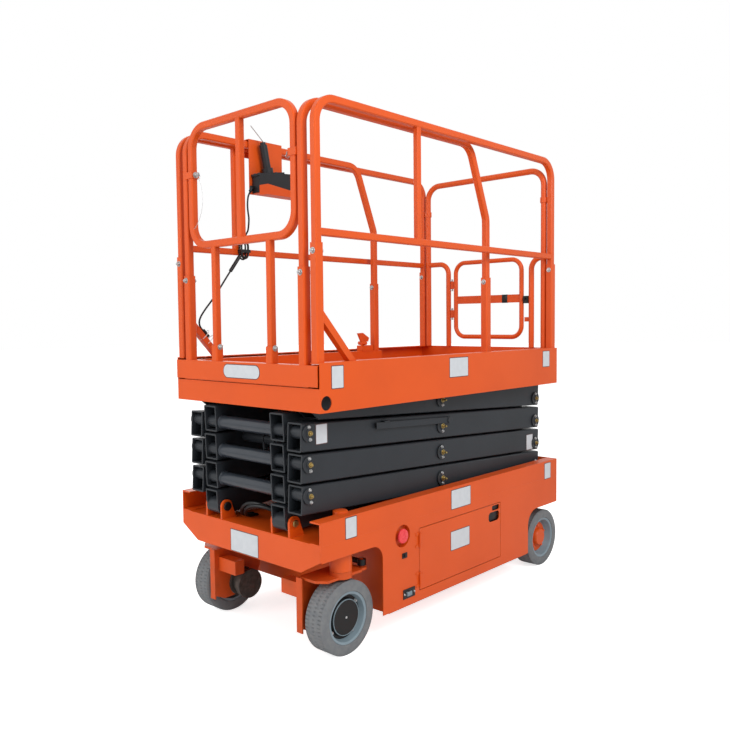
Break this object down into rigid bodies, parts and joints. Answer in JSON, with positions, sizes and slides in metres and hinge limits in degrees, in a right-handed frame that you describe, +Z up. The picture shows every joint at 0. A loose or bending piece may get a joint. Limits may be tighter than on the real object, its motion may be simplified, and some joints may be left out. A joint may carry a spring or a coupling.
{
  "type": "scissor lift",
  "caption": "Self-propelled scissor lift with folded arms, guard-railed platform, sliding deck extension, gate and steered front wheels.",
  "frame": {"origin": "on the ground at the middle of the machine's length and width", "axes": "+Z up, -Y towards the steered wheels and the sliding extension, +X towards the machine's left"},
  "size_m": [0.912, 1.85, 2.152],
  "materials": {
    "orange_paint": "gloss enamel",
    "charcoal_paint": "satin enamel",
    "tyre_rubber": "grey non-marking rubber",
    "black_steel": "satin enamel",
    "zinc_steel": "zinc plated",
    "chrome_rod": "hard chrome",
    "black_plastic": "grained",
    "red_plastic": "gloss",
    "cable_rubber": "satin",
    "cast_paint": "painted casting"
  },
  "bodies": {
    "chassis": {"chassis_frame": "orange_paint", "side_skirt_left": "orange_paint", "side_skirt_right": "orange_paint", "battery_pack": "black_plastic", "hydraulic_unit": "black_steel", "rear_ladder": "orange_paint", "side_controls": "red_plastic", "ground_panel": "black_plastic", "steer_barrel": "black_steel"},
    "door_left": {"door_left": "orange_paint"},
    "door_right": {"door_right": "orange_paint"},
    "knuckle_left": {"knuckle_left": "orange_paint", "drive_motor_left": "cast_paint"},
    "knuckle_right": {"knuckle_right": "orange_paint", "drive_motor_right": "cast_paint"},
    "tie_rod": {"tie_rod": "black_steel"},
    "steer_rod": {"steer_rod": "chrome_rod"},
    "inner_1": {"inner_arms_1": "charcoal_paint"},
    "outer_1": {"outer_arms_1": "charcoal_paint", "lower_rollers": "zinc_steel"},
    "inner_2": {"inner_arms_2": "charcoal_paint"},
    "outer_2": {"outer_arms_2": "charcoal_paint"},
    "inner_3": {"inner_arms_3": "charcoal_paint"},
    "outer_3": {"outer_arms_3": "charcoal_paint", "safety_prop": "charcoal_paint"},
    "inner_4": {"inner_arms_4": "charcoal_paint", "upper_rollers": "zinc_steel"},
    "outer_4": {"outer_arms_4": "charcoal_paint"},
    "lift_barrel": {"lift_barrel": "charcoal_paint"},
    "lift_rod": {"lift_rod": "chrome_rod"},
    "platform": {"platform_deck": "orange_paint", "platform_sleeves": "orange_paint", "side_rail_left": "orange_paint", "side_rail_right": "orange_paint", "rear_rail": "orange_paint", "gate_hinges": "zinc_steel", "gate_latch": "black_plastic", "control_bracket": "orange_paint", "control_box": "black_plastic", "control_cable": "cable_rubber", "cable_hank": "cable_rubber", "cable_plugs": "cable_rubber"},
    "gate": {"gate": "orange_paint"},
    "extension": {"extension_deck": "orange_paint", "extension_sleeves": "orange_paint", "extension_rails": "orange_paint", "front_rail": "orange_paint", "extension_lock": "zinc_steel"},
    "wheel_front_left": {"tyre_front_left": "tyre_rubber", "hub_front_left": "black_steel"},
    "wheel_front_right": {"tyre_front_right": "tyre_rubber", "hub_front_right": "black_steel"},
    "wheel_rear_left": {"tyre_rear_left": "tyre_rubber", "hub_rear_left": "orange_paint"},
    "wheel_rear_right": {"tyre_rear_right": "tyre_rubber", "hub_rear_right": "orange_paint"}
  },
  "joints": [
    {"name": "lift", "type": "hinge", "parent": "chassis", "child": "inner_1", "pos_m": [0, -0.885, 0.53], "axis": [1, 0, 0], "range_deg": [0, 51]},
    {"name": "scissor_1", "type": "hinge", "parent": "inner_1", "child": "outer_1", "pos_m": [0, -0.05847, 0.59], "axis": [1, 0, 0], "range_deg": [-102, 0]},
    {"name": "stage_2", "type": "hinge", "parent": "outer_1", "child": "inner_2", "pos_m": [0, -0.885, 0.65], "axis": [1, 0, 0], "range_deg": [0, 102]},
    {"name": "scissor_2", "type": "hinge", "parent": "inner_2", "child": "outer_2", "pos_m": [0, -0.05847, 0.71], "axis": [1, 0, 0], "range_deg": [-102, 0]},
    {"name": "stage_3", "type": "hinge", "parent": "outer_2", "child": "inner_3", "pos_m": [0, -0.885, 0.77], "axis": [1, 0, 0], "range_deg": [0, 102]},
    {"name": "scissor_3", "type": "hinge", "parent": "inner_3", "child": "outer_3", "pos_m": [0, -0.05847, 0.83], "axis": [1, 0, 0], "range_deg": [-102, 0]},
    {"name": "stage_4", "type": "hinge", "parent": "outer_3", "child": "inner_4", "pos_m": [0, -0.885, 0.89], "axis": [1, 0, 0], "range_deg": [0, 102]},
    {"name": "scissor_4", "type": "hinge", "parent": "inner_4", "child": "outer_4", "pos_m": [0, -0.05847, 0.95], "axis": [1, 0, 0], "range_deg": [-102, 0]},
    {"name": "platform_level", "type": "hinge", "parent": "outer_4", "child": "platform", "pos_m": [0, -0.885, 1.01], "axis": [1, 0, 0], "range_deg": [0, 51]},
    {"name": "lift_cylinder_base", "type": "hinge", "parent": "inner_1", "child": "lift_barrel", "pos_m": [0, 0.64222, 0.60577], "axis": [1, 0, 0], "range_deg": [-109, 0]},
    {"name": "lift_cylinder_rod", "type": "slide", "parent": "lift_barrel", "child": "lift_rod", "axis": [0, -0.9946, 0.1037], "range_m": [0, 0.302]},
    {"name": "steer_left", "type": "hinge", "parent": "chassis", "child": "knuckle_left", "pos_m": [0.372, -0.737, 0.1475], "axis": [0, 0, 1], "range_deg": [-50, 50]},
    {"name": "steer_right", "type": "hinge", "parent": "chassis", "child": "knuckle_right", "pos_m": [-0.372, -0.737, 0.1475], "axis": [0, 0, 1], "range_deg": [-50, 50]},
    {"name": "tie_rod_pin", "type": "hinge", "parent": "knuckle_left", "child": "tie_rod", "pos_m": [0.372, -0.617, 0.336], "axis": [0, 0, 1], "range_deg": [-50, 50]},
    {"name": "steer_cylinder_rod", "type": "slide", "parent": "chassis", "child": "steer_rod", "axis": [1, 0, 0], "range_m": [-0.092, 0.092]},
    {"name": "wheel_front_left", "type": "hinge", "parent": "knuckle_left", "child": "wheel_front_left", "pos_m": [0.364, -0.737, 0.1475], "axis": [1, 0, 0], "continuous": true},
    {"name": "wheel_front_right", "type": "hinge", "parent": "knuckle_right", "child": "wheel_front_right", "pos_m": [-0.364, -0.737, 0.1475], "axis": [1, 0, 0], "continuous": true},
    {"name": "wheel_rear_left", "type": "hinge", "parent": "chassis", "child": "wheel_rear_left", "pos_m": [0.364, 0.755, 0.1475], "axis": [1, 0, 0], "continuous": true},
    {"name": "wheel_rear_right", "type": "hinge", "parent": "chassis", "child": "wheel_rear_right", "pos_m": [-0.364, 0.755, 0.1475], "axis": [1, 0, 0], "continuous": true},
    {"name": "door_left", "type": "hinge", "parent": "chassis", "child": "door_left", "pos_m": [0.45, -0.3335, 0.2925], "axis": [0, 0, -1], "range_deg": [0, 100]},
    {"name": "door_right", "type": "hinge", "parent": "chassis", "child": "door_right", "pos_m": [-0.45, -0.3335, 0.2925], "axis": [0, 0, 1], "range_deg": [0, 100]},
    {"name": "gate", "type": "hinge", "parent": "platform", "child": "gate", "pos_m": [-0.214, 0.804, 1.427], "axis": [0, 0, -1], "range_deg": [0, 95]},
    {"name": "extension", "type": "slide", "parent": "platform", "child": "extension", "axis": [0, -1, 0], "range_m": [0, 0.75]}
  ],
  "couplings": [
    {"joint": "scissor_1", "follows": "lift", "ratio": -2},
    {"joint": "stage_2", "follows": "lift", "ratio": 2},
    {"joint": "scissor_2", "follows": "lift", "ratio": -2},
    {"joint": "stage_3", "follows": "lift", "ratio": 2},
    {"joint": "scissor_3", "follows": "lift", "ratio": -2},
    {"joint": "stage_4", "follows": "lift", "ratio": 2},
    {"joint": "scissor_4", "follows": "lift", "ratio": -2},
    {"joint": "platform_level", "follows": "lift", "ratio": 1},
    {"joint": "lift_cylinder_base", "follows": "lift", "ratio": -2.1363},
    {"joint": "lift_cylinder_rod", "follows": "lift", "m_per_rad": 0.3392},
    {"joint": "steer_right", "follows": "steer_left", "ratio": 1},
    {"joint": "tie_rod_pin", "follows": "steer_left", "ratio": -1},
    {"joint": "steer_cylinder_rod", "follows": "steer_left", "m_per_rad": -0.105}
  ]
}
